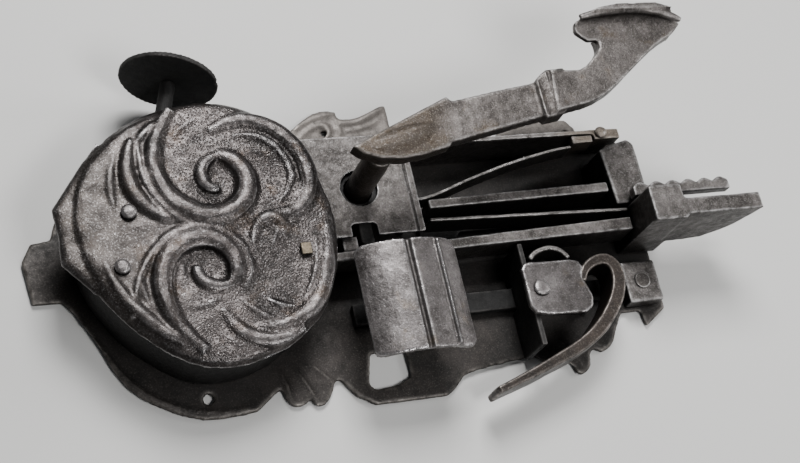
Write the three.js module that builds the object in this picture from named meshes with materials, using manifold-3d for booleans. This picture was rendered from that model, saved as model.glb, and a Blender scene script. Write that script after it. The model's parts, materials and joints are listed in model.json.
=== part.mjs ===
// Wrought-iron rim door lock with a round key drum, lever handle, latch, deadbolt and night bolt.
// Units are millimetres. The lock lies on its back: the backplate's rear face is z = 0, the works
// face +Z and the bolts leave towards +X. The origin is the drum's centre on the rear face.
import * as THREE from 'three';
import { mergeVertices } from 'three/addons/utils/BufferGeometryUtils.js';
import Module from 'manifold-3d';

const wasm = await Module();
wasm.setup();

// ---------- driving dimensions ----------
const GAP = 0.3; // clearance between touching pieces
const PLATE = 2.5; // backplate thickness
const FLOOR = PLATE + GAP; // lowest level of anything standing on the backplate
const PLATE_END = 224; // bolt end of the backplate

const WALL_TOP = 32.5; // top of the drum wall
const COVER = { bottom: 32.8, rim: 34, crown: 37.2, inset: 6.5, slope: 5.5 };
const WALL_INSET = 3.6; // cover's overhang past the drum wall
const WALL_THICK = 2;

const BAR_TOP = 25.5; // top edge of the bolt bars
const WORKS_PLATE = { bottom: 25.8, top: 27.5 }; // plate over the follower
const SPINDLE = { x: 74, y: 17.8, r: 6.2, bottom: 8, top: 61.2 };
const FOLLOWER = { r: 11, bottom: 8, top: 25, armBottom: 12, armTop: 24.5, armHalf: 3.2 };
const HANDLE = { bottom: 61.5, top: 68.5 };
const CURL = { y: 64, z: 82, r: 14, thick: 3 }; // the blade's rolled-up tip

const LATCH = { top: 47, y0: -18, y1: -0.6, x0: 206.1, x1: 223.8, tip: 264.6 };
const TONGUE = { y0: -16.4, y1: -8 };
const DEADBOLT = { x0: 200.6, x1: 218.6, y0: 0.3, y1: 34.5, top: 26 };
const TAIL = { bottom: 3, top: 6.5 }; // deadbolt's tail plate
const NIGHT = { y: -34.5, barHalf: 5, barBottom: 3, barTop: 7, x0: 201.8, x1: 220.2, top: 10.5 };
const GRIP = { x0: 61.5, x1: 109.5, y0: -64.5, y1: -13.5, edge: 31.5, rise: 7, thick: 3 };

const KEY = { x: 0, y: -26, pinR: 2.2, pinTop: 32.4 };
const PIVOT = { x: 149, y: -38.5, hole: 2.5 }; // rivet that the horn lever turns on
const LEVER = { bottom: 25.2, top: 28.4 };
const HORN = { bottom: 9.6, top: 24.9, thick: 7, endThick: 3.6 };
const KNOB = { x: -3, y: 77, z: 27, r: 22.2, half: 1.2, turn: -17, stemR: 3.6, stemLength: 33 };

const IRON = 0x46403b;
const DARK_IRON = 0x2c2927;
const WORN_IRON = 0x6b635c;
const SPRING_STEEL = 0x5a544f;
const BRASS = 0x7a6a4a;

// ---------- shape helpers ----------
function outline(points) {
  return new THREE.Shape(points.map(([x, y]) => new THREE.Vector2(x, y)));
}

function smoothLoop(points, divisions) {
  const nodes = points.map(([x, y]) => new THREE.Vector3(x, y, 0));
  const curve = new THREE.CatmullRomCurve3(nodes, true, 'centripetal');
  return curve.getPoints(divisions).slice(0, -1).map((p) => [p.x, p.y]);
}

function smoothRun(points, divisions) {
  return new THREE.SplineCurve(points.map(([x, y]) => new THREE.Vector2(x, y)))
    .getPoints(divisions)
    .map((p) => [p.x, p.y]);
}

function roundedRect(x0, y0, x1, y1, r) {
  const shape = new THREE.Shape();
  shape.absarc(x1 - r, y0 + r, r, -Math.PI / 2, 0);
  shape.absarc(x1 - r, y1 - r, r, 0, Math.PI / 2);
  shape.absarc(x0 + r, y1 - r, r, Math.PI / 2, Math.PI);
  shape.absarc(x0 + r, y0 + r, r, Math.PI, Math.PI * 1.5);
  shape.closePath();
  return shape;
}

function slabZ(shape, z0, z1, curveSegments = 6) {
  const geometry = new THREE.ExtrudeGeometry(shape, { depth: z1 - z0, bevelEnabled: false, curveSegments });
  return geometry.translate(0, 0, z0);
}

// Profile points are (x, z), thickness runs along Y.
function slabY(points, y0, y1) {
  const geometry = new THREE.ExtrudeGeometry(outline(points), { depth: y1 - y0, bevelEnabled: false });
  return geometry.rotateX(Math.PI / 2).translate(0, y1, 0);
}

// Profile points are (y, z), thickness runs along X.
function slabX(points, x0, x1) {
  const geometry = new THREE.ExtrudeGeometry(outline(points), { depth: x1 - x0, bevelEnabled: false });
  const turn = new THREE.Matrix4().makeBasis(
    new THREE.Vector3(0, 1, 0),
    new THREE.Vector3(0, 0, 1),
    new THREE.Vector3(1, 0, 0),
  );
  return geometry.applyMatrix4(turn).translate(x0, 0, 0);
}

function box(x0, x1, y0, y1, z0, z1) {
  const geometry = new THREE.BoxGeometry(x1 - x0, y1 - y0, z1 - z0);
  return geometry.translate((x0 + x1) / 2, (y0 + y1) / 2, (z0 + z1) / 2);
}

function post(x, y, r, z0, z1, sides = 20) {
  const geometry = new THREE.CylinderGeometry(r, r, z1 - z0, sides).rotateX(Math.PI / 2);
  return geometry.translate(x, y, (z0 + z1) / 2);
}

function postY(x, z, r, y0, y1, sides = 20) {
  const geometry = new THREE.CylinderGeometry(r, r, y1 - y0, sides);
  return geometry.translate(x, (y0 + y1) / 2, z);
}

// A riveted head: a low dome on a short shank.
function rivet(x, y, r, z, height, shank = 0) {
  const profile = [new THREE.Vector2(0, z - shank)];
  if (shank > 0) {
    profile.push(new THREE.Vector2(r * 0.5, z - shank), new THREE.Vector2(r * 0.5, z));
  }
  profile.push(new THREE.Vector2(r, z), new THREE.Vector2(r * 0.92, z + height * 0.55));
  profile.push(new THREE.Vector2(r * 0.55, z + height * 0.9), new THREE.Vector2(0, z + height));
  return new THREE.LatheGeometry(profile, 16).rotateX(Math.PI / 2).translate(x, y, 0);
}

// A strip standing on edge that follows a run of plan points, thick at its middle and endThick at its ends.
function edgeStrip(points, thick, z0, z1, endThick = thick) {
  const left = [];
  const right = [];
  points.forEach((p, i) => {
    const a = points[Math.max(i - 1, 0)];
    const b = points[Math.min(i + 1, points.length - 1)];
    const length = Math.hypot(b[0] - a[0], b[1] - a[1]);
    const half = (endThick + (thick - endThick) * Math.sin((Math.PI * i) / (points.length - 1))) / 2;
    const nx = (-(b[1] - a[1]) / length) * half;
    const ny = ((b[0] - a[0]) / length) * half;
    left.push([p[0] + nx, p[1] + ny]);
    right.unshift([p[0] - nx, p[1] - ny]);
  });
  return slabZ(outline([...left, ...right]), z0, z1);
}

// ---------- boolean helpers ----------
function solid(geometry) {
  const plain = geometry.clone();
  plain.deleteAttribute('normal');
  plain.deleteAttribute('uv');
  const merged = mergeVertices(plain, 1e-4);
  const vertProperties = new Float32Array(merged.attributes.position.array);
  const triVerts = new Uint32Array(merged.index.array);
  return new wasm.Manifold(new wasm.Mesh({ numProp: 3, vertProperties, triVerts }));
}

function shell(body) {
  const { vertProperties, triVerts } = body.getMesh();
  const geometry = new THREE.BufferGeometry();
  geometry.setAttribute('position', new THREE.BufferAttribute(new Float32Array(vertProperties), 3));
  geometry.setIndex(new THREE.BufferAttribute(new Uint32Array(triVerts), 1));
  geometry.computeVertexNormals();
  return geometry;
}

function join(...parts) {
  return shell(parts.map(solid).reduce((a, b) => a.add(b)));
}

function cut(base, ...tools) {
  return shell(tools.map(solid).reduce((body, tool) => body.subtract(tool), solid(base)));
}

const lock = new THREE.Group();

function place(name, geometry, color, roughness = 0.6, metalness = 0.75) {
  const material = new THREE.MeshStandardMaterial({ color, roughness, metalness });
  const mesh = new THREE.Mesh(geometry, material);
  mesh.name = name;
  lock.add(mesh);
}

// ---------- drum outline, shared by the cover, the wall and the plate beside them ----------
// Each pair is a direction in degrees and the outline's distance from the drum's centre.
const DRUM_POLAR = [
  [10, 58], [36, 60], [55, 62.8], [75, 63], [96, 60.5], [120, 59.5], [143, 59], [165, 58.5],
  [188, 56], [212, 54.5], [238, 56.5], [262, 61], [290, 61.3], [318, 60.2], [345, 58],
];

function drumLoop(inset) {
  const nodes = DRUM_POLAR.map(([degrees, r]) => {
    const angle = THREE.MathUtils.degToRad(degrees);
    return [(r - inset) * Math.cos(angle), (r - inset) * Math.sin(angle)];
  });
  return smoothLoop(nodes, 48);
}

// ---------- backplate ----------
function makeBackplate() {
  const flangeRun = [[-59, -14], [-51.5, -23.5], [-39.5, -51.7], [-25, -64.6], [-6, -72.8], [16, -71.8]];
  const flange = smoothRun(flangeRun, 14);
  const leaf = (...points) => smoothRun(points, 9);
  const edge = [
    [-60.5, 15.5], [-69, 14.8], [-73.7, 6.4], [-71.5, -13.5], ...flange,
    [24, -66], ...leaf([28.3, -63], [29.7, -68.6], [33.5, -72.2], [38.2, -71], [40.3, -68.8]),
    ...leaf([40.3, -68.8], [42.9, -73.1], [47.7, -71.5], [51.2, -66.8], [52.8, -62.4]),
    [55.5, -62.4], [61.1, -70.3], [69.3, -75.5], [103.2, -75.6], [107.5, -73], [113.5, -67],
    [122, -65], [150, -62], [157.5, -67.5], [164.4, -68.2],
    ...leaf([167.8, -65.4], [168.5, -72], [172.5, -73.3], [177, -69.7], [177.9, -64.9]),
    ...leaf([180.2, -61.8], [184.8, -64], [191.1, -60.6], [194.8, -54.3], [199.9, -46.3]),
    [210.4, -46.2], [211.1, -54.5], [PLATE_END, -45.7], [PLATE_END, 44], [204, 46], [203, 53], [199, 58],
    [185.4, 58.4], [162.4, 54], [152, 48], [112, 48],
    ...leaf([106, 60], [106.2, 69.6], [104.8, 72.2], [99.2, 70], [92.7, 66.4], [84.6, 65.5], [80.3, 66.3]),
    ...leaf([80.4, 69.6], [76.7, 70.5], [69.9, 70], [63.8, 66.8], [56.1, 61.3], [46, 56]),
  ];
  const flangeTop = [];
  for (let degrees = 60; degrees <= 160; degrees += 10) {
    const angle = THREE.MathUtils.degToRad(degrees);
    flangeTop.push([62.5 * Math.cos(angle), 62.5 * Math.sin(angle)]);
  }
  const plate = slabZ(outline([...edge, ...flangeTop]), 0, PLATE);
  const tabWindow = outline([
    [71.5, -52], [68.3, -66], [71, -68.3], [81, -67.4], [88.3, -64.3], [87.5, -52],
  ]);
  return cut(
    plate,
    slabZ(tabWindow, -1, PLATE + 1),
    post(SPINDLE.x, SPINDLE.y, 7, -1, PLATE + 1, 24),
    post(KEY.x, KEY.y, 4.6, -1, PLATE + 1, 20),
    box(KEY.x - 1.6, KEY.x + 1.6, KEY.y - 15, KEY.y, -1, PLATE + 1),
    post(-4, -63.6, 2.2, -1, PLATE + 1, 14),
    post(72.6, 58, 1.9, -1, PLATE + 1, 14),
    post(197, 50, 2.2, -1, PLATE + 1, 14),
  );
}

// ---------- key drum ----------
// Geometry built round the knob's own axis, which is +Y before it is turned to its place.
function knobFrame(geometry) {
  return geometry.rotateZ(THREE.MathUtils.degToRad(KNOB.turn)).translate(KNOB.x, KNOB.y, KNOB.z);
}

function makeDrumWall() {
  const ring = outline(drumLoop(WALL_INSET));
  ring.holes.push(outline(drumLoop(WALL_INSET + WALL_THICK)));
  return cut(
    slabZ(ring, FLOOR, WALL_TOP),
    box(40, 70, -22, 8, 0, 27), // gate for the bolt tails
    knobFrame(box(-5, 5, -32, -12, -5.5, WALL_TOP)), // notch for the knob's stem
  );
}

function makeDrumCover() {
  const beak = [[-40, 46], [-47.5, 36], [-63, 15.5], [-61.8, 3], [-62.4, -9.5], [-50, -24], [-20, 0]];
  const beakTop = [[-34, 42], [-43, 33], [-57, 13.5], [-56, 3], [-56.4, -7.5], [-46, -19], [-20, 0]];
  const panel = outline(smoothLoop(drumLoop(COVER.inset), 40));
  const rise = COVER.crown - COVER.rim;
  const domed = (shape, height) => {
    const geometry = new THREE.ExtrudeGeometry(shape, {
      depth: 0.4,
      bevelThickness: height - 0.4,
      bevelSize: COVER.slope,
      bevelSegments: 3,
    });
    return solid(geometry.translate(0, 0, COVER.rim)).trimByPlane([0, 0, 1], COVER.bottom + 0.2);
  };
  const raised = domed(panel, rise).add(domed(outline(beakTop), rise - 1.2));
  const sheet = slabZ(outline(drumLoop(0)), COVER.bottom, COVER.rim);
  const flap = slabZ(outline(beak), COVER.bottom, COVER.rim);
  return shell(solid(join(sheet, flap)).add(raised));
}

function makeWard(radius, z0, z1) {
  const ring = new THREE.Shape();
  const start = THREE.MathUtils.degToRad(-65);
  const end = THREE.MathUtils.degToRad(245);
  ring.absarc(0, 0, radius, start, end, false);
  ring.absarc(0, 0, radius - 1.2, end, start, true);
  ring.closePath();
  return slabZ(ring, z0, z1, 20).translate(KEY.x, KEY.y, 0);
}

place('backplate', makeBackplate(), IRON);
place('drum_wall', makeDrumWall(), DARK_IRON);
place('drum_cover', makeDrumCover(), IRON);
place('cover_rivet_upper', rivet(-32, 10.2, 4, COVER.crown + GAP, 2.4), WORN_IRON);
place('cover_rivet_lower', rivet(-38, -14, 3.8, COVER.crown + GAP, 2), WORN_IRON);
place('cover_rivet_square', box(38, 43, -16, -10.5, COVER.crown + GAP, COVER.crown + 1.8), BRASS);
place('key_pin', post(KEY.x, KEY.y, KEY.pinR, FLOOR + 3, KEY.pinTop, 16), WORN_IRON);
place('ward_ring_large', makeWard(13.5, FLOOR, 8), DARK_IRON);
place('ward_ring_small', makeWard(9.5, FLOOR, 10), DARK_IRON);

// ---------- tumbler in the drum ----------
const TUMBLER = { x: -34, y: 14, r: 2.4, bottom: 3.2, top: 6.5 };
const tumblerPlan = [
  [-38.5, 14], [-34, 10.5], [6, 3.5], [6, -1.2], [11, -1.2], [11, 8], [-30, 17.5], [-37, 17.5],
];
place('tumbler_post', post(TUMBLER.x, TUMBLER.y, TUMBLER.r, FLOOR, 9, 16), WORN_IRON);
place(
  'tumbler',
  cut(
    slabZ(outline(tumblerPlan), TUMBLER.bottom, TUMBLER.top),
    post(TUMBLER.x, TUMBLER.y, TUMBLER.r + GAP, 0, 13, 16),
  ),
  DARK_IRON,
);
place(
  'tumbler_spring',
  edgeStrip(smoothRun([[-30, 38], [-10, 30], [8, 13], [10.4, 9.4]], 12), 1.2, TUMBLER.bottom, TUMBLER.top),
  SPRING_STEEL,
);

// ---------- plate over the follower, on its pillars ----------
function makeWorksPlate() {
  const sheet = slabZ(roundedRect(38, -5.4, 101.2, 44, 1), WORKS_PLATE.bottom, WORKS_PLATE.top);
  return cut(
    sheet,
    slabZ(outline(drumLoop(WALL_INSET - 0.6)), 0, 60),
    post(SPINDLE.x, SPINDLE.y, 8.6, 20, 30, 28),
    slabZ(roundedRect(66.5, -8, 78.5, 0.8, 2), 20, 30),
  );
}

place('works_plate', makeWorksPlate(), WORN_IRON);
const PILLARS = [[59, 38], [95, 40], [97.6, 4.6], [58.5, 3]];
PILLARS.forEach(([x, y], i) => {
  place(`plate_pillar_${i + 1}`, post(x, y, 2, FLOOR, WORKS_PLATE.bottom - GAP, 12), DARK_IRON);
});

// ---------- top wall, clip and the handle's long spring ----------
const cornerLug = box(198.5, 213, 35.2, 40.6, 17, BAR_TOP);
place('top_wall', join(box(103, 213, 38, 40.6, FLOOR, BAR_TOP), cornerLug), IRON);
place('spring_clip', box(186, 197.5, 33.2, 37.6, 16, BAR_TOP + 1), BRASS);
place('corner_rivet', rivet(202.5, 38.2, 3.4, BAR_TOP + GAP, 2.2), WORN_IRON);
const longSpring = [[90.5, 10.9], [107, 11.9], [129.5, 19.4], [152, 26], [174, 30.8], [185.4, 32.2]];
place('handle_spring', edgeStrip(smoothRun(longSpring, 22), 1.8, 14, BAR_TOP), SPRING_STEEL);

// ---------- guides for the bolts ----------
function makeStaple(x, y0, y1, top) {
  const frame = [
    [y0 - 2, FLOOR], [y0, FLOOR], [y0, top], [y1, top], [y1, FLOOR], [y1 + 2, FLOOR], [y1 + 2, top + 1.8],
    [y0 - 2, top + 1.8],
  ];
  return slabX(frame, x, x + 5);
}

place('deadbolt_staple', makeStaple(30, -13, -1, TAIL.top + 0.6), DARK_IRON);
place('night_bolt_staple', makeStaple(176, NIGHT.y - 6, NIGHT.y + 6, NIGHT.barTop + 0.4), DARK_IRON);

// ---------- web that carries the horn lever ----------
place(
  'cross_web',
  cut(
    join(
      box(PIVOT.x - 5, PIVOT.x - 2.1, -64, -14.8, FLOOR, LEVER.bottom - GAP),
      box(PIVOT.x - 3, PIVOT.x + 3.4, PIVOT.y - 3.4, PIVOT.y + 3.4, 12, LEVER.bottom - GAP),
    ),
    box(PIVOT.x - 8, PIVOT.x + 8, NIGHT.y - 6, NIGHT.y + 6, 0, NIGHT.barTop + 1),
    post(PIVOT.x, PIVOT.y, PIVOT.hole, 20, 30, 16),
  ),
  IRON,
);
place('lever_rivet', rivet(PIVOT.x, PIVOT.y, 4.4, LEVER.top + GAP, 1.6, 6), WORN_IRON);
const detent = [
  [149, -23], [151, -20.6], [154.8, -18.8], [160.1, -17.9], [165.1, -19.5], [168.7, -23.9],
];
place('detent_spring', edgeStrip(smoothRun(detent, 12), 2.6, 12, 24.8), SPRING_STEEL);

// ---------- lever handle, spindle and follower ----------
function makeHandle() {
  const boss = [
    [59.7, 19], [64, 15.2], [71.8, 12.4], [82, 11.6], [92, 12.8], [104, 16], [107, 21], [109.5, 37.7],
    [108, 40.6], [98, 36], [84, 30], [70, 24],
  ];
  const bar = [[104, 17.6], [153, 27.8], [152.8, 45.4], [109, 38]];
  const collar = [[152.9, 26.4], [162.4, 28.2], [167.8, 51.4], [158, 50.6], [152.6, 46.4]];
  const bladeOuter = smoothRun(
    [[158, 29], [173, 31.5], [186, 36.7], [201.5, 48], [217.5, 60], [229, 66]],
    10,
  );
  const bladeInner = smoothRun([[187.5, 66], [187.9, 60], [181.5, 53.7], [174.4, 49.2], [160, 50]], 8);
  const hook = new THREE.Shape();
  const [low, high] = [-92, -8].map(THREE.MathUtils.degToRad);
  hook.absarc(CURL.y, CURL.z, CURL.r, low, high, false);
  hook.absarc(CURL.y, CURL.z, CURL.r - CURL.thick, high, low, true);
  hook.closePath();
  const hookPoints = hook.extractPoints(8).shape.map((p) => [p.x, p.y]);
  const curlPlan = outline([
    [187.5, 60], [222, 62], [229, 66], [233, 70], [226, 75], [215, 79], [204, 79], [188, 76], [177, 72],
    [177, 68],
  ]);
  const curl = solid(slabX(hookPoints, 170, 240)).intersect(solid(slabZ(curlPlan, 60, 100)));
  const flat = [
    slabZ(outline(boss), HANDLE.bottom, HANDLE.top),
    slabZ(outline(bar), HANDLE.bottom, HANDLE.top),
    slabZ(outline(collar), HANDLE.bottom - 1, HANDLE.top + 1),
    slabZ(outline([...bladeOuter, ...bladeInner]), 63.6, 71),
  ].map(solid);
  return shell(flat.reduce((a, b) => a.add(b)).add(curl));
}

function makeFollower() {
  const { x, y } = SPINDLE;
  const { armHalf, armBottom, armTop } = FOLLOWER;
  return cut(
    join(
      post(x, y, FOLLOWER.r, FOLLOWER.bottom, FOLLOWER.top, 28),
      box(x, 93, 13, 20.5, armBottom, armTop),
      slabZ(roundedRect(x - armHalf, -8.4, x + armHalf, y, 2), armBottom, armTop),
    ),
    post(x, y, SPINDLE.r + GAP, 0, 40, 24),
  );
}

place('handle_lever', makeHandle(), WORN_IRON);
place('handle_spindle', post(SPINDLE.x, SPINDLE.y, SPINDLE.r, SPINDLE.bottom, SPINDLE.top, 24), IRON);
place('follower', makeFollower(), DARK_IRON);

// ---------- spring latch ----------
function makeLatchHead() {
  const { top, x0, x1, tip } = LATCH;
  const nose = [
    [x1 - 4, top], [tip, top], [258.2, 28], [252.5, 20.6], [245.7, 15.2], [236, 13.9], [226, 13.6],
    [x1 - 4, 13.6],
  ];
  const foot = [[x0, FLOOR + 0.4], [226, FLOOR + 0.4], [226, 13.8], [x1, 16], [x1, top - 2], [x0, top - 2]];
  const cap = slabZ(roundedRect(x0, LATCH.y0, x1, LATCH.y1, 1.5), top - 4, top);
  return join(slabY(nose, TONGUE.y0, TONGUE.y1), slabY(foot, LATCH.y0 + 1, LATCH.y1), cap);
}

function makeLatchBar() {
  const run = [[45, -15.8], [LATCH.x0 - GAP, -12.8], [LATCH.x0 - GAP, -6.2], [45, -11.6]];
  return join(
    slabZ(outline(run), 10, BAR_TOP),
    box(61.8, 69.2, -13, -4, FOLLOWER.armBottom, FOLLOWER.armTop), // lug that the follower pushes
  );
}

function makeScallopedStrip() {
  const low = [[LATCH.x0, GAP], [258.5, GAP]];
  const edge = [];
  const lobes = 6;
  const pitch = (258.5 - LATCH.x0) / lobes;
  for (let i = lobes * 6; i >= 0; i -= 1) {
    const x = LATCH.x0 + (pitch * i) / 6;
    edge.push([x, 4.9 + 2.2 * Math.abs(Math.sin((Math.PI * i) / 6))]);
  }
  return slabZ(outline([...low, ...edge]), 29, 34.5);
}

place('latch_head', makeLatchHead(), WORN_IRON);
place('latch_bar', makeLatchBar(), IRON);
const latchSpring = [[104.8, 0.6], [150, -0.9], [LATCH.x0 - GAP, -2.4]];
place('latch_spring', edgeStrip(latchSpring, 2, 12, BAR_TOP), SPRING_STEEL);
place('latch_scalloped_strip', makeScallopedStrip(), WORN_IRON);

// ---------- key-thrown deadbolt ----------
const headPlan = [
  [DEADBOLT.x0, DEADBOLT.y0], [DEADBOLT.x1, DEADBOLT.y0], [DEADBOLT.x1, DEADBOLT.y1 - 3],
  [DEADBOLT.x1 - 3, DEADBOLT.y1], [DEADBOLT.x0 - 1.5, DEADBOLT.y1 - 5],
];
const tailPlan = [
  [-22, -12], [-9, -12], [-9, -8], [-3, -8], [-3, -12], [7, -12], [7, -8], [13, -8], [13, -12],
  [118, -12], [126, 1], [198.6, 1], [198.6, 13.4], [106, 13.4], [106, -2], [-22, -2],
];
place('deadbolt_head', slabZ(outline(headPlan), TAIL.bottom, DEADBOLT.top), WORN_IRON);
place(
  'deadbolt_bar',
  slabZ(outline([[106, 6], [198.6, 7.4], [198.6, 12.6], [106, 10.6]]), TAIL.top + GAP, BAR_TOP),
  IRON,
);
place('deadbolt_tail', slabZ(outline(tailPlan), TAIL.bottom, TAIL.top), DARK_IRON);

// ---------- night bolt with its arched thumb grip ----------
function makeGrip() {
  const half = (GRIP.x1 - GRIP.x0) / 2;
  const middle = (GRIP.x0 + GRIP.x1) / 2;
  const radius = (half * half + GRIP.rise * GRIP.rise) / (2 * GRIP.rise);
  const centreZ = GRIP.edge + GRIP.thick + GRIP.rise - radius;
  const arc = (r, steps, reversed) => {
    const span = Math.asin(half / radius);
    const points = [];
    for (let i = 0; i <= steps; i += 1) {
      const angle = (reversed ? 1 : -1) * span * (1 - (2 * i) / steps);
      points.push([middle + r * Math.sin(angle), centreZ + r * Math.cos(angle)]);
    }
    return points;
  };
  const sheet = slabY([...arc(radius, 18, false), ...arc(radius - GRIP.thick, 18, true)], GRIP.y0, GRIP.y1);
  const corners = slabZ(roundedRect(GRIP.x0, GRIP.y0, GRIP.x1, GRIP.y1, 5), 0, 60);
  const groove = box(84.2, 86.6, GRIP.y0 - 1, GRIP.y1 + 1, centreZ + radius - 1.5, 60);
  const bead = box(98.8, 100.2, GRIP.y0 + 1, GRIP.y1 - 1, centreZ + radius - 3, centreZ + radius - 0.6);
  return shell(solid(sheet).intersect(solid(corners)).subtract(solid(groove)).add(solid(bead)));
}

const [barSouth, barNorth] = [NIGHT.y - NIGHT.barHalf, NIGHT.y + NIGHT.barHalf];
place(
  'night_bolt_bar',
  box(66, NIGHT.x0 - GAP, barSouth, barNorth, NIGHT.barBottom, NIGHT.barTop),
  IRON,
);
place(
  'night_bolt_head',
  slabZ(roundedRect(NIGHT.x0, -44.2, NIGHT.x1, -23.4, 1), NIGHT.barBottom, NIGHT.top),
  WORN_IRON,
);
place('night_bolt_rivet', rivet(211, -33.7, 4.3, NIGHT.top + GAP, 0.8), DARK_IRON);
place('grip_stem', post(85.5, NIGHT.y, 4.5, NIGHT.barTop + GAP, 36, 16), DARK_IRON);
place('thumb_grip', makeGrip(), WORN_IRON);

// ---------- horn lever ----------
const leverPlan = [
  [141.6, -28.6], [143.2, -26.2], [146.3, -25.4], [167, -26], [170.6, -26.9], [172.2, -29.9], [170.6, -35.5],
  [172.3, -39.8], [173.5, -44.9], [172.2, -49.7], [168.4, -52.2], [150.1, -51.4], [143.9, -49.9],
  [141.4, -46],
];
const hornRun = [
  [172.6, -35.8], [174.7, -30.8], [180.2, -26.9], [186.6, -26], [190.6, -29.5], [191.2, -36], [188.2, -44],
  [181.5, -52.8], [172.5, -60.8], [161.7, -66.8], [150.5, -71.1], [135.9, -76.4], [118.2, -82],
];
place(
  'lever_plate',
  cut(slabZ(outline(leverPlan), LEVER.bottom, LEVER.top), post(PIVOT.x, PIVOT.y, PIVOT.hole, 20, 30, 16)),
  WORN_IRON,
);
place(
  'horn',
  edgeStrip(smoothRun(hornRun, 30), HORN.thick, HORN.bottom, HORN.top, HORN.endThick),
  IRON,
);

// ---------- thumb knob on the drum ----------
function makeKnobDisc() {
  const plate = postY(0, 0, KNOB.r, -KNOB.half, KNOB.half, 44);
  const bite = postY(KNOB.r, 7, 2, -5, 5, 12); // small nick in the rim
  return knobFrame(cut(plate, bite));
}

const stemEnd = -KNOB.stemLength;
place('knob_disc', makeKnobDisc(), DARK_IRON);
place('knob_stem', knobFrame(postY(0, 0, KNOB.stemR, stemEnd, -KNOB.half - GAP, 16)), IRON);
place('knob_cam', knobFrame(box(-2.5, 2.5, stemEnd - 4, stemEnd - GAP, -9, 3)), DARK_IRON);

export default lock;
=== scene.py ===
"""Looks for a wrought-iron rim lock: key drum with scrollwork, lever handle, latch, deadbolt and night bolt.

Every finished piece starts as a welded copy of its plain solid. Its edges are eased, ornament is added
where it has any, it is cast again as one skin, and it gets an iron finish made from noise.
"""

import json
import math

import bpy
from mathutils import Matrix, Vector

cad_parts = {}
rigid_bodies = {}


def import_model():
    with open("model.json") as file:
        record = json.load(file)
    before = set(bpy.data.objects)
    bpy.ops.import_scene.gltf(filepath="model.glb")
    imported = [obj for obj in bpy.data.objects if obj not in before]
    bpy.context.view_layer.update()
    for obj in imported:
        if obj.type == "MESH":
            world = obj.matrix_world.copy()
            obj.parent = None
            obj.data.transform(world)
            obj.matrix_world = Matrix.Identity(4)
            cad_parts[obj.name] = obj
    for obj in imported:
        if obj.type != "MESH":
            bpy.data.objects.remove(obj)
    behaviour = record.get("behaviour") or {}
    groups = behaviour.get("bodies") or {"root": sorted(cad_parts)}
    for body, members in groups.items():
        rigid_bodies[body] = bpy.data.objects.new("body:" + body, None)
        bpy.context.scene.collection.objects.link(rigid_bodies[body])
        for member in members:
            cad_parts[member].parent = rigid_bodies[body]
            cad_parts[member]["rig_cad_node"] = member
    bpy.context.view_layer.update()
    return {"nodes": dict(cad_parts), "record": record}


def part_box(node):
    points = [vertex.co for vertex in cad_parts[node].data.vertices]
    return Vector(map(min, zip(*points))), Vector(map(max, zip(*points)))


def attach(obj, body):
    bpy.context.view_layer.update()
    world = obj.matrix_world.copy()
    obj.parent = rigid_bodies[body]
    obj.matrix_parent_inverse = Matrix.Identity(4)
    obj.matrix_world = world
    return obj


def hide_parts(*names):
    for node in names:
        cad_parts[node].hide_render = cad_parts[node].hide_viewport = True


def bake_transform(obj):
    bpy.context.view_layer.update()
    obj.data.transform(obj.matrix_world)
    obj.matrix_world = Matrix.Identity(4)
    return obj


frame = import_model()
MM = 0.001

# ---------- camera ----------
CAMERA_TARGET = Vector((0.0874, -0.0059, 0.030))
CAMERA_DISTANCE = 0.665
CAMERA_TURN = math.radians(-44.53)  # round the vertical
CAMERA_TILT = math.radians(30.02)  # away from straight down
CAMERA_ROLL = math.radians(35.49)  # round its own line of sight
CAMERA_LENS = 67.5


def set_camera():
    bpy.ops.object.camera_add()
    camera = bpy.context.object
    turn = Matrix.Rotation(CAMERA_TURN, 3, "Z") @ Matrix.Rotation(CAMERA_TILT, 3, "X")
    aim = turn @ Matrix.Rotation(CAMERA_ROLL, 3, "Z")
    camera.rotation_euler = aim.to_euler()
    camera.location = CAMERA_TARGET + aim @ Vector((0, 0, CAMERA_DISTANCE))
    camera.data.lens = CAMERA_LENS
    camera.data.clip_start = 0.01
    bpy.context.scene.camera = camera


# ---------- handling pieces ----------
def pick(piece):
    """Makes this the only selected object, and the active one."""
    bpy.ops.object.select_all(action="DESELECT")
    piece.select_set(True)
    bpy.context.view_layer.objects.active = piece


def blank(node):
    """A welded copy of a plain solid, ready to be worked into a finished piece."""
    pick(frame["nodes"][node])
    bpy.ops.object.duplicate()
    piece = bpy.context.object
    piece.parent = None
    del piece["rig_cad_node"]
    piece.name = node + "_finished"
    piece.data.materials.clear()
    bpy.ops.mesh.customdata_custom_splitnormals_clear()
    bpy.ops.object.mode_set(mode="EDIT")
    bpy.ops.mesh.select_all(action="SELECT")
    bpy.ops.mesh.remove_doubles(threshold=0.002 * MM)
    bpy.ops.mesh.dissolve_limited(angle_limit=math.radians(1))
    bpy.ops.object.mode_set(mode="OBJECT")
    return piece


def modify(piece, kind, **settings):
    """Adds one modifier with these settings and applies it."""
    pick(piece)
    modifier = piece.modifiers.new(kind.lower(), kind)
    for name, value in settings.items():
        setattr(modifier, name, value)
    bpy.ops.object.modifier_apply(modifier=modifier.name)


def soften_edges(piece, width, segments=2):
    modify(piece, "BEVEL", width=width * MM, segments=segments, limit_method="ANGLE",
           angle_limit=math.radians(28), use_clamp_overlap=True)


def recast(piece, grain, rounds=4, strength=0.5):
    """Fuses everything in the piece into one skin of that grain size and rubs it smooth."""
    modify(piece, "REMESH", mode="VOXEL", voxel_size=grain * MM)
    modify(piece, "SMOOTH", factor=strength, iterations=rounds)


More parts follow.
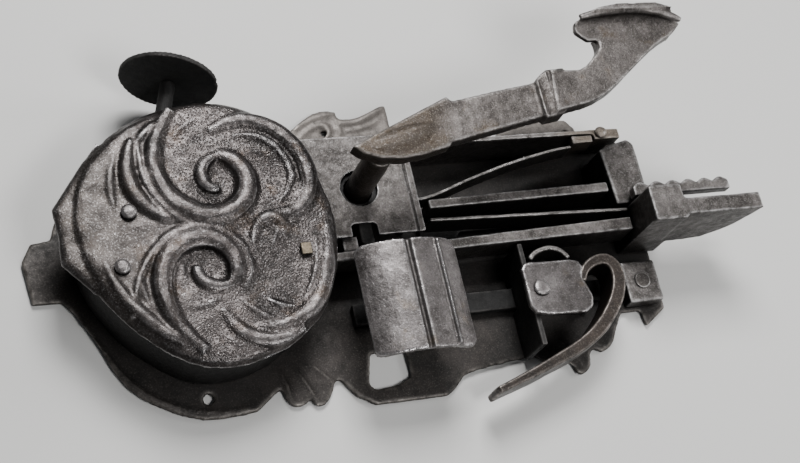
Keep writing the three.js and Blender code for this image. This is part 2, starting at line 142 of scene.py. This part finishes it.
def hammer(piece, depth, scale):
    """Leaves the shallow unevenness of hand forging."""
    blows = bpy.data.textures.new("hammer_blows", "CLOUDS")
    blows.noise_scale = scale * MM
    blows.noise_depth = 2
    modify(piece, "DISPLACE", texture=blows, texture_coords="LOCAL", strength=depth * MM, mid_level=0.8)


def weld_on(piece, *extras):
    """Joins extra shapes into the piece."""
    bpy.ops.object.select_all(action="DESELECT")
    for extra in extras:
        extra.select_set(True)
    piece.select_set(True)
    bpy.context.view_layer.objects.active = piece
    bpy.ops.object.join()


def cut_with(piece, *cutters):
    for cutter in cutters:
        modify(piece, "BOOLEAN", operation="DIFFERENCE", object=cutter, solver="EXACT")
        bpy.data.objects.remove(cutter)


def block(low, high):
    """A plain box between two corners given in millimetres, to join on or cut with."""
    low, high = Vector(low) * MM, Vector(high) * MM
    bpy.ops.object.select_all(action="DESELECT")
    bpy.ops.mesh.primitive_cube_add(size=1, location=(low + high) / 2, scale=high - low)
    bpy.ops.object.transform_apply(location=True, rotation=True, scale=True)
    return bpy.context.object


def rib(points, wide, narrow, flat=0.6):
    """A raised rib through these points in millimetres, tapering from wide in the middle to narrow ends."""
    bpy.ops.object.select_all(action="DESELECT")
    bpy.ops.curve.primitive_nurbs_path_add()
    curve = bpy.context.object
    curve.data.splines.clear()
    line = curve.data.splines.new("NURBS")
    line.points.add(len(points) - 1)
    for i, (point, place) in enumerate(zip(line.points, points)):
        along = i / (len(points) - 1)
        point.co = (place[0] * MM, place[1] * MM, 0, 1)
        point.radius = narrow + (wide - narrow) * math.sin(math.pi * along) ** 0.7
    line.order_u = 4
    line.use_endpoint_u = True
    line.resolution_u = 6
    curve.data.bevel_depth = MM
    curve.data.bevel_resolution = 3
    curve.data.use_fill_caps = True
    bpy.ops.object.convert(target="MESH")
    piece = bpy.context.object
    piece.scale = (1, 1, flat)
    piece.location = (0, 0, points[0][2] * MM)
    bpy.ops.object.transform_apply(location=True, rotation=True, scale=True)
    return piece


def mound(x, y, level, reach_x, reach_y, rise):
    """A low round swelling, to join on or cut with."""
    bpy.ops.object.select_all(action="DESELECT")
    bpy.ops.mesh.primitive_uv_sphere_add(segments=28, ring_count=14, radius=1,
                                         location=(x * MM, y * MM, level * MM),
                                         scale=(reach_x * MM, reach_y * MM, rise * MM))
    bpy.ops.object.transform_apply(location=True, rotation=True, scale=True)
    return bpy.context.object


def dish(x, y, level, radius, depth):
    """A flat round body whose lower side hollows out the surface at this level."""
    lift = 0.6 * depth
    reach = 1.15 * radius  # widest above the surface
    return mound(x, y, level + lift, reach, reach, depth + lift)


def scroll(centre, level, start, sweep, reach, eye, unwind):
    """Points on a scroll that winds in from reach to its eye, all in millimetres and degrees."""
    points = []
    steps = max(8, int(abs(sweep) / 14))
    for i in range(steps + 1):
        swept = sweep * i / steps
        r = eye + (reach - eye) * math.exp(-abs(swept) / unwind)
        angle = math.radians(start + swept)
        points.append((centre[0] + r * math.cos(angle), centre[1] + r * math.sin(angle), level))
    return points


def level_run(level, *plan):
    return [(x, y, level) for x, y in plan]


# ---------- finishes ----------
# cells per metre of the noises that the finishes are mixed from
PATCHES = 45
STAINS = 70
MOTTLE = 260
PUNCH_MARKS = 1050
SPECKS = 1300
GRIT = 1500

WEAR_REACH = 1.1 * MM  # how far from an edge the iron is rubbed bright
PAINTED_SHADE_REACH = 24 * MM  # how wide a gap must be to stay free of painted shade inside
ROUGHNESS_HEIGHT = 0.6 * MM  # height of the skin's own relief
SAMPLES = 6  # rays that look for an edge or a gap


def faded(colour, share):
    return tuple(share * c for c in colour)


class Recipe:
    """The shader nodes of one finish, laid out on the piece's own coordinates."""

    def __init__(self, name):
        self.material = bpy.data.materials.new(name)
        self.material.use_nodes = True
        self.nodes = self.material.node_tree.nodes
        self.links = self.material.node_tree.links
        self.shader = self.nodes["Principled BSDF"]
        self.place = self.nodes.new("ShaderNodeTexCoord")
        self.surface = self.nodes.new("ShaderNodeNewGeometry")
        self.spot = self.split("Object")
        self.facing_up = self.split("Normal")["Z"]

    def split(self, coordinates):
        node = self.nodes.new("ShaderNodeSeparateXYZ")
        self.links.new(self.place.outputs[coordinates], node.inputs["Vector"])
        return node.outputs

    def noise(self, scale, detail, roughness=0.6):
        node = self.nodes.new("ShaderNodeTexNoise")
        node.inputs["Scale"].default_value = scale
        node.inputs["Detail"].default_value = detail
        node.inputs["Roughness"].default_value = roughness
        self.links.new(self.place.outputs["Object"], node.inputs["Vector"])
        return node.outputs["Fac"]

    def spread(self, value, low, high, to_low=0.0, to_high=1.0):
        """Stretches the part of a value from low to high over to_low to to_high."""
        node = self.nodes.new("ShaderNodeMapRange")
        node.inputs["From Min"].default_value = low
        node.inputs["From Max"].default_value = high
        node.inputs["To Min"].default_value = to_low
        node.inputs["To Max"].default_value = to_high
        self.links.new(value, node.inputs["Value"])
        return node.outputs["Result"]

    def fill(self, socket, value, solid=()):
        """Links a node's output to the socket, or sets a plain value on it."""
        if isinstance(value, bpy.types.NodeSocket):
            self.links.new(value, socket)
        elif isinstance(value, tuple):
            socket.default_value = (*value, *solid)
        else:
            socket.default_value = value

    def combine(self, operation, first, second):
        node = self.nodes.new("ShaderNodeMath")
        node.operation = operation
        self.fill(node.inputs[0], first)
        self.fill(node.inputs[1], second)
        return node.outputs["Value"]

    def scaled(self, first, second):
        return self.combine("MULTIPLY", first, second)

    def blend(self, share, first, second):
        """Mixes two colours, from the first where share is 0 to the second where it is 1."""
        node = self.nodes.new("ShaderNodeMix")
        node.data_type = "RGBA"
        self.links.new(share, node.inputs["Factor"])
        self.fill(node.inputs["A"], first, solid=(1,))
        self.fill(node.inputs["B"], second, solid=(1,))
        return node.outputs["Result"]


def rubbed_edges(recipe, mottle):
    """Share of bright metal: where a rounded normal leaves the true one, and on crests."""
    rounded = recipe.nodes.new("ShaderNodeBevel")
    rounded.samples = SAMPLES
    rounded.inputs["Radius"].default_value = WEAR_REACH
    agreement = recipe.nodes.new("ShaderNodeVectorMath")
    agreement.operation = "DOT_PRODUCT"
    recipe.links.new(rounded.outputs["Normal"], agreement.inputs[0])
    recipe.links.new(recipe.surface.outputs["Normal"], agreement.inputs[1])
    ridges = recipe.spread(agreement.outputs["Value"], 0.97, 0.75)
    crests = recipe.spread(recipe.surface.outputs["Pointiness"], 0.505, 0.56)
    edge = recipe.combine("MAXIMUM", ridges, crests)
    return recipe.scaled(edge, recipe.spread(mottle, 0.38, 0.62, 0.12, 0.9))


def darken_hollows_and_paint_shade(recipe, colour, deep, sides):
    """Darkens the hollows, and paints shade on upright sides and deep between the pieces."""
    hollow = recipe.spread(recipe.surface.outputs["Pointiness"], 0.495, 0.44)
    colour = recipe.blend(recipe.scaled(hollow, 0.85), colour, faded(deep, 0.35))
    # painted shade: upright faces are made darker than faces turned up
    upright = recipe.spread(recipe.facing_up, 0.1, 0.8, sides, 1.0)
    colour = recipe.blend(upright, faded(deep, 0.3), colour)
    # painted shade: ambient occlusion darkens the colour in gaps and between the pieces
    shadowed = recipe.nodes.new("ShaderNodeAmbientOcclusion")
    shadowed.samples = SAMPLES
    shadowed.inputs["Distance"].default_value = PAINTED_SHADE_REACH
    open_air = recipe.spread(shadowed.outputs["AO"], 0.3, 0.85, 0.1, 1.0)
    return recipe.blend(open_air, faded(deep, 0.15), colour)


def punched_ground(recipe):
    """Close rows of small dents, on the ground between the scrolls and right of the beak."""
    dots = recipe.nodes.new("ShaderNodeTexVoronoi")
    dots.inputs["Scale"].default_value = PUNCH_MARKS
    recipe.links.new(recipe.place.outputs["Object"], dots.inputs["Vector"])
    below_ribs = recipe.spread(recipe.spot["Z"], 38.3 * MM, 37.6 * MM)
    right_of_beak = recipe.spread(recipe.spot["X"], -22 * MM, -4 * MM)
    ground = recipe.scaled(below_ribs, right_of_beak)
    sunk = recipe.spread(dots.outputs["Distance"], 0.1, 0.55)
    return recipe.scaled(recipe.scaled(sunk, ground), 0.7)


def iron(name, deep, mid, worn, rough=0.5, metal=0.75, pits=0.35, sides=0.55, tint=None, tint_share=0.0,
         zone=None, punched=False):
    """Forged iron: darker in its hollows, brown-grey on its faces, rubbed lighter on its edges, with painted
    glints on faces turned up and painted shade on upright faces and between the pieces.

    sides is how much of the colour shows through the painted shade on upright faces. zone is a
    stretch of another colour: its axis, where it is full, where it ends and the colour, in millimetres.
    """
    recipe = Recipe(name)
    patches = recipe.noise(PATCHES, 5)
    mottle = recipe.noise(MOTTLE, 8, 0.7)
    grit = recipe.noise(GRIT, 3, 0.7)
    specks = recipe.noise(SPECKS, 4, 0.75)
    edge = rubbed_edges(recipe, mottle)

    mixed = recipe.combine("ADD", recipe.scaled(patches, 0.55), recipe.scaled(mottle, 0.45))
    colour = recipe.blend(recipe.spread(mixed, 0.40, 0.61), deep, mid)
    if tint:
        stains = recipe.spread(recipe.noise(STAINS, 4), 0.62 - tint_share, 0.80 - tint_share)
        colour = recipe.blend(stains, colour, tint)
    if zone:
        axis, full, ends, zone_colour = zone
        share = recipe.spread(recipe.spot[axis], ends * MM, full * MM)
        share = recipe.scaled(share, recipe.spread(mottle, 0.35, 0.6, 0.55, 1.0))
        colour = recipe.blend(share, colour, zone_colour)
        edge = recipe.scaled(edge, recipe.spread(share, 0, 1, 1.0, 0.5))
    # painted highlight: bright glints from the specks, only on faces turned up towards the light
    upward = recipe.spread(recipe.facing_up, 0.15, 0.85)
    painted_glints = recipe.scaled(recipe.spread(specks, 0.54, 0.74, 0.0, 0.38), upward)
    colour = recipe.blend(painted_glints, colour, worn)
    colour = recipe.blend(recipe.spread(specks, 0.44, 0.33, 0.0, 0.75), colour, faded(deep, 0.6))
    colour = recipe.blend(edge, colour, worn)
    recipe.links.new(darken_hollows_and_paint_shade(recipe, colour, deep, sides), recipe.shader.inputs["Base Color"])

    dulled = recipe.spread(mottle, 0.3, 0.7, rough + 0.12, rough - 0.1)
    roughness = recipe.combine("ADD", dulled, recipe.scaled(edge, -0.12))
    recipe.links.new(roughness, recipe.shader.inputs["Roughness"])
    recipe.shader.inputs["Metallic"].default_value = metal
    recipe.shader.inputs["Specular IOR Level"].default_value = 0.5

    relief = recipe.combine("ADD", recipe.scaled(mottle, 0.9), recipe.scaled(grit, 0.35))
    if punched:
        relief = recipe.combine("ADD", relief, punched_ground(recipe))
    bump = recipe.nodes.new("ShaderNodeBump")
    bump.inputs["Strength"].default_value = pits
    bump.inputs["Distance"].default_value = ROUGHNESS_HEIGHT
    recipe.links.new(relief, bump.inputs["Height"])
    recipe.links.new(bump.outputs["Normal"], recipe.shader.inputs["Normal"])
    return recipe.material


# each finish: the colour in its dark patches, on its faces and where it is rubbed, then the rest
case_iron = iron("case_iron", (0.018, 0.015, 0.0135), (0.075, 0.066, 0.060), (0.40, 0.385, 0.375),
                 metal=0.6, pits=0.7)
# the next two finishes are near-black: painted shade for pieces that sit in shadow
dark_iron = iron("dark_iron", (0.004, 0.0036, 0.0033), (0.013, 0.012, 0.011), (0.10, 0.093, 0.09),
                 rough=0.6, metal=0.35, pits=0.5)
shade_black_iron = iron("shade_black_iron", (0.0025, 0.0023, 0.0022), (0.007, 0.0064, 0.006), (0.085, 0.078, 0.074),
                 rough=0.7, metal=0.2, pits=0.5)
worn_iron = iron("worn_iron", (0.034, 0.030, 0.027), (0.170, 0.155, 0.148), (0.62, 0.605, 0.60),
                 rough=0.42, pits=0.8, sides=0.5)
cover_iron = iron("scrollwork_iron", (0.014, 0.0115, 0.0105), (0.082, 0.071, 0.068), (0.58, 0.565, 0.57),
                  rough=0.32, sides=0.8, tint=(0.042, 0.028, 0.019), tint_share=0.06,
                  zone=("X", -38, -20, (0.034, 0.029, 0.026)), punched=True)
plate_iron = iron("backplate_iron", (0.009, 0.0075, 0.0065), (0.036, 0.030, 0.027), (0.24, 0.22, 0.20),
                  metal=0.5, zone=("Y", 58, 48, (0.19, 0.17, 0.155)))
handle_iron = iron("handle_iron", (0.034, 0.029, 0.026), (0.150, 0.135, 0.127), (0.56, 0.535, 0.52),
                   rough=0.38, pits=0.7, sides=0.6, tint=(0.085, 0.062, 0.042), tint_share=0.04,
                   zone=("X", 96, 110, (0.046, 0.034, 0.023)))
grip_iron = iron("grip_iron", (0.038, 0.033, 0.031), (0.175, 0.160, 0.157), (0.60, 0.58, 0.58),
                 rough=0.34, pits=0.45, sides=0.9, tint=(0.12, 0.094, 0.070), tint_share=0.04)
horn_iron = iron("horn_iron", (0.015, 0.0115, 0.0095), (0.062, 0.048, 0.040), (0.40, 0.36, 0.33),
                 rough=0.38, metal=0.6, sides=0.85)
corner_iron = iron("corner_iron", (0.040, 0.035, 0.032), (0.160, 0.145, 0.137), (0.55, 0.53, 0.52),
                   rough=0.42, pits=0.9, zone=("X", 192, 176, (0.27, 0.225, 0.18)))
spring_steel = iron("spring_steel", (0.050, 0.046, 0.043), (0.18, 0.167, 0.160), (0.52, 0.50, 0.48),
                    rough=0.38, pits=0.6, sides=0.35)
tarnished_brass = iron("tarnished_brass", (0.050, 0.039, 0.026), (0.17, 0.138, 0.098), (0.46, 0.40, 0.31))
FINISHES = {
    "case_iron": case_iron,
    "dark_iron": dark_iron,
    "worn_iron": worn_iron,
    "spring_steel": spring_steel,
    "brass": tarnished_brass,
}

NODE_BODY = {n: body for body, members in frame["record"]["behaviour"]["bodies"].items() for n in members}
NODE_SLOT = {part["node"]: part["material_slot"] for part in frame["record"]["subparts"]}

# leaf springs: the body that pushes each, where it stays put, and where it is pushed; here their pieces are
# only kept off the bodies
GIVING_SPRINGS = {
    "handle_spring": ("handle", (106, 11.8, 20), (90.5, 10.9, 20)),
    "tumbler_spring": ("tumbler", (-14, 32, 5), (7, 14, 5)),
}


def done(piece, node, material=None, smooth_angle=50):
    """Gives the piece its finish and its body, and lets it stand for its plain solid."""
    pick(piece)
    bpy.ops.object.shade_smooth_by_angle(angle=math.radians(smooth_angle))
    slot = NODE_SLOT[node]
    piece.data.materials.clear()
    piece.data.materials.append(material or FINISHES[slot])
    if node in GIVING_SPRINGS:
        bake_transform(piece)
    else:
        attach(piece, NODE_BODY[node])
    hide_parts(node)


# ---------- drum cover ----------
COVER_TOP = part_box("drum_cover")[1].z / MM
GROUND = COVER_TOP - 0.2  # level that the scrollwork stands on


def make_drum_cover():
    piece = blank("drum_cover")
    upper, lower = (7.6, 22.5), (-2.4, -17.1)  # the two scrolls' eyes
    low = GROUND - 0.4
    hollows = [
        # the scrolls' eyes, then the ground between the scrolls
        dish(*upper, COVER_TOP, 10, 1.9),
        dish(*lower, COVER_TOP, 10, 1.9),
        dish(27, 23, COVER_TOP, 11, 0.8),
        dish(28, -24, COVER_TOP, 15, 0.8),
        dish(-22, 24, COVER_TOP, 8, 0.7),
    ]
    cut_with(piece, *hollows)
    ribs = [
        # the two large scrolls, each with a fainter line beside it
        rib(scroll(upper, GROUND, 112, 330, 38, 11.5, 95), 5.4, 2.6, 0.5),
        rib(scroll(upper, GROUND, 440, 200, 12, 3.0, 90), 3.2, 1.8, 0.6),
        rib(scroll(upper, GROUND, 146, 150, 37.5, 20.5, 60), 2.6, 1.2, 0.6),
        rib(scroll(lower, GROUND, -101, -300, 37, 12.0, 65), 5.6, 2.8, 0.5),
        rib(scroll(lower, GROUND, -400, -150, 12.5, 3.0, 90), 3.2, 1.8, 0.6),
        rib(scroll(lower, GROUND, -150, -250, 40, 17.5, 42), 2.6, 1.2, 0.6),
        # right-hand scrolls along the rim
        rib(level_run(GROUND, (8, 46), (19, 52), (31, 50), (42, 42), (48, 31), (49, 19), (46, 9), (38, 4),
                      (30, 5)), 4.8, 2.0, 0.5),
        rib(level_run(GROUND, (18, 43), (27, 44), (35, 39), (40, 31), (42, 22), (39, 15), (33, 10)),
            2.4, 1.0, 0.6),
        rib(level_run(GROUND, (41, 33), (43, 37), (39, 40), (37, 37)), 1.8, 1.1, 0.6),
        rib(level_run(GROUND, (38, 8), (42, 13), (45, 20)), 3.4, 1.4, 0.5),
        rib(level_run(GROUND, (18, -8), (20, -1), (25, 4), (32, 3), (35, -3), (30, -6)), 3.2, 1.4, 0.55),
        rib(level_run(GROUND, (27, -9), (29, -3), (34, 1), (41, 1)), 2.2, 1.0, 0.55),
        rib(level_run(low, (52, -2), (51, -14), (48, -26), (43, -35), (34, -43), (24, -47), (13, -45)),
            4.4, 2.0, 0.55),
        rib(level_run(GROUND, (46, -8), (45, -20), (41, -29), (35, -36)), 2.0, 1.0, 0.55),
        # leaves at the bottom
        rib(level_run(GROUND, (0, -36), (4, -45), (11, -51), (22, -53), (34, -48)), 4.0, 1.6, 0.5),
        rib(level_run(low, (-3, -45), (1, -51), (8, -54)), 2.8, 1.2, 0.55),
        rib(level_run(GROUND, (9, -33), (14, -40), (22, -43)), 2.6, 1.1, 0.55),
        rib(level_run(GROUND, (20, -34), (26, -38), (31, -38)), 1.8, 0.9, 0.55),
        rib(level_run(GROUND, (1, -30), (-4, -34), (-12, -34)), 2.4, 1.0, 0.5),
        # shells beside the beak
        rib(level_run(GROUND, (-26, 44), (-31, 33), (-30, 19), (-23, 10), (-14, 5)), 4.4, 1.8, 0.5),
        rib(level_run(low, (-33, 39), (-38, 29), (-39, 18), (-37, 12)), 3.0, 1.3, 0.6),
        rib(level_run(GROUND, (-24, 42), (-20, 48), (-13, 52)), 2.8, 1.2, 0.6),
        rib(level_run(GROUND, (-22, 34), (-18, 42), (-12, 48)), 2.0, 1.0, 0.6),
        rib(level_run(GROUND, (-8, 44), (-4, 49), (3, 52)), 2.0, 0.9, 0.6),
        rib(level_run(low, (-45, -10), (-42, -22), (-36, -32), (-28, -41), (-19, -49), (-9, -53)),
            3.6, 1.5, 0.55),
        rib(level_run(GROUND, (-30, -12), (-33, -22), (-29, -32)), 2.2, 1.0, 0.55),
        # the beak's folded flap
        rib(level_run(35.6, (-48, 28), (-48, 21), (-44, 14), (-41, 8)), 1.5, 0.8, 0.8),
        rib(level_run(36.2, (-47, 4), (-45, 3), (-43, 4)), 1.4, 0.8, 0.8),
        # swellings that carry the beak up to the crown
        mound(-45, 16, 34, 11, 15, 2.9),
        mound(-46, -8, 34, 11, 13, 2.7),
        mound(-38, 2, 34, 12, 30, 3.1),
    ]
    weld_on(piece, *ribs)
    recast(piece, 0.62, rounds=7, strength=0.5)
    hammer(piece, 1.3, 15)
    done(piece, "drum_cover", cover_iron, smooth_angle=60)


# ---------- backplate ----------
PLATE_TOP = 2.4


def make_backplate():
    piece = blank("backplate")
    veins = [
        # crest at the top edge
        rib(level_run(PLATE_TOP, (57, 60.5), (63, 65), (70, 68), (77, 68.5)), 2.0, 1.0),
        rib(level_run(PLATE_TOP, (60, 57), (66, 62), (71, 63.5), (75, 62), (75, 57), (71, 55)), 1.7, 0.9),
        rib(level_run(PLATE_TOP, (79, 64), (85, 62.5), (92, 64), (99, 68), (104, 70)), 2.0, 1.0),
        rib(level_run(PLATE_TOP, (80, 60), (87, 58.5), (94, 60), (101, 64)), 1.4, 0.8),
        rib(level_run(PLATE_TOP, (79, 55), (87, 53.5), (96, 55), (103, 58)), 1.6, 0.8),
        rib(level_run(PLATE_TOP, (79, 62), (81, 60), (80, 57)), 1.6, 1.2),
        # leaf lobes between the drum and the window
        rib(level_run(PLATE_TOP, (29, -55), (31, -62), (32, -68)), 1.6, 0.7),
        rib(level_run(PLATE_TOP, (36, -55), (40, -63), (43, -70)), 1.7, 0.7),
        rib(level_run(PLATE_TOP, (43, -53), (48, -59), (52, -63)), 1.5, 0.7),
        # leaf lobes at the lower bolt end
        rib(level_run(PLATE_TOP, (164, -56), (169, -63), (173, -70)), 1.7, 0.8),
        rib(level_run(PLATE_TOP, (174, -54), (181, -58), (186, -62)), 1.7, 0.8),
        rib(level_run(PLATE_TOP, (183, -50), (189, -52), (195, -51)), 1.4, 0.7),
        rib(level_run(PLATE_TOP, (158, -60), (162, -65), (168, -69)), 1.3, 0.7),
        # rolled edge of the flange round the drum
        rib(level_run(PLATE_TOP, (-58, -15), (-51, -25), (-39, -51), (-25, -63), (-6, -71), (12, -70)),
            1.0, 0.7),
    ]
    weld_on(piece, *veins)
    recast(piece, 0.95, rounds=2, strength=0.4)
    hammer(piece, 0.5, 22)
    done(piece, "backplate", plate_iron)


# ---------- lever handle ----------
def make_handle():
    piece = blank("handle_lever")
    soften_edges(piece, 1.6, 3)
    swell = rib(level_run(66.6, (62, 18.4), (72, 18.6), (82, 20.5), (94, 24.5), (106, 30)), 7.4, 1.6, 0.52)
    bands = [
        rib(level_run(69.4, (152.6, 27.5), (152.6, 36), (152.4, 45.5)), 0.9, 0.8, 0.8),
        rib(level_run(69.4, (157.4, 28.5), (157.8, 38), (157.6, 49)), 0.9, 0.8, 0.8),
    ]
    lip = rib(level_run(77.6, (178, 72), (190, 75), (205, 76), (217, 75), (225, 71.5), (230, 68.5)),
              2.7, 1.6, 0.9)
    weld_on(piece, swell, lip, *bands)
    recast(piece, 0.7, rounds=5, strength=0.5)
    hammer(piece, 0.55, 12)
    done(piece, "handle_lever", handle_iron, smooth_angle=60)


# ---------- plate over the follower ----------
def make_works_plate():
    piece = blank("works_plate")
    low, high = (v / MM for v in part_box("works_plate"))
    groove_start, groove_end, groove_depth = high.x - 4.2, high.x - 3.1, 0.7
    groove = block((groove_start, low.y - 1, high.z - groove_depth), (groove_end, high.y + 1, high.z + 1))
    cut_with(piece, groove)
    soften_edges(piece, 0.25)
    recast(piece, 0.42, rounds=1, strength=0.4)
    hammer(piece, 0.5, 6)
    done(piece, "works_plate", worn_iron)


# ---------- the other pieces ----------
FINEST_GRAIN = 0.3
COARSEST_GRAIN = 0.62
GRAINS_THROUGH = 4.5  # grains across a piece's least thickness
PLAIN_FORGING = (0.5, 0.3)  # edge easing and unevenness


def forge(node, edge, uneven, material=None):
    """Eases a piece's edges, then gives its faces the small waves of the hammer."""
    piece = blank(node)
    low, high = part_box(node)
    thin = min(high - low) / MM
    soften_edges(piece, min(edge, thin * 0.3))
    grain = max(FINEST_GRAIN, min(COARSEST_GRAIN, thin / GRAINS_THROUGH))
    recast(piece, grain, rounds=2, strength=0.4)
    hammer(piece, uneven, 11)
    done(piece, node, material)


# edge easing, unevenness and finish where they differ from the rest
SPECIAL = {
    "thumb_grip": (0.8, 0.4, grip_iron),
    "horn": (0.8, 0.4, horn_iron),
    "latch_head": (0.8, 0.6, worn_iron),
    "deadbolt_head": (0.9, 0.7, worn_iron),
    "night_bolt_head": (0.8, 0.5, worn_iron),
    "lever_plate": (1.2, 0.4, grip_iron),
    "lever_rivet": (0.5, 0.8, grip_iron),
    "cover_rivet_upper": (0.5, 0.9, grip_iron),
    "cover_rivet_lower": (0.5, 0.9, grip_iron),
    "handle_spindle": (0.6, 0.6, handle_iron),
    # the knob disc is near-black as painted shade
    "knob_disc": (0.5, 0.3, shade_black_iron),
    "top_wall": (0.5, 0.5, corner_iron),
    "corner_rivet": (0.5, 0.8, corner_iron),
    "latch_bar": (0.5, 0.3, worn_iron),
    "deadbolt_bar": (0.5, 0.3, worn_iron),
    "spring_clip": (0.8, 0.9, corner_iron),
    # pieces deep in the case, most of them given near-black finishes as painted shade
    "night_bolt_bar": (0.5, 0.3, shade_black_iron),
    "night_bolt_rivet": (0.5, 0.3, case_iron),
    "knob_stem": (0.5, 0.3, shade_black_iron),
    "cross_web": (0.5, 0.3, dark_iron),
    "drum_wall": (0.5, 0.6, dark_iron),
}

make_drum_cover()
make_backplate()
make_handle()
make_works_plate()
ORNAMENTED = {"drum_cover", "backplate", "handle_lever", "works_plate"}
for node_name in sorted(set(frame["nodes"]) - ORNAMENTED):
    forge(node_name, *SPECIAL.get(node_name, PLAIN_FORGING))


# ---------- floor and light ----------
def make_floor():
    bpy.ops.object.select_all(action="DESELECT")
    bpy.ops.mesh.primitive_plane_add(size=8, location=(0, 0, -0.0005))
    floor = bpy.context.object
    floor.name = "floor"
    material = bpy.data.materials.new("pale_floor")
    material.use_nodes = True
    shader = material.node_tree.nodes["Principled BSDF"]
    shader.inputs["Base Color"].default_value = (0.62, 0.615, 0.60, 1)
    shader.inputs["Roughness"].default_value = 0.6
    floor.data.materials.append(material)


def area_light(name, location, target, size, power):
    bpy.ops.object.light_add(type="AREA", location=location)
    light = bpy.context.object
    light.name = name
    light.data.size = size
    light.data.energy = power
    aim = Vector(target) - Vector(location)
    light.rotation_euler = aim.to_track_quat("-Z", "Y").to_euler()


def light_studio():
    area_light("key", (0.10, 0.52, 0.78), (0.07, 0.02, 0.02), 0.38, 11)
    area_light("floor_glow", (0.30, -0.50, 0.90), (0.30, -0.46, 0), 0.35, 7)
    area_light("side", (0.95, 0.05, 0.55), (0.12, 0, 0.03), 0.35, 3.2)
    world = bpy.data.worlds.new("studio") if bpy.context.scene.world is None else bpy.context.scene.world
    bpy.context.scene.world = world
    world.use_nodes = True
    world.node_tree.nodes["Background"].inputs["Color"].default_value = (0.92, 0.95, 1.0, 1)
    world.node_tree.nodes["Background"].inputs["Strength"].default_value = 0.08


make_floor()
light_studio()
set_camera()
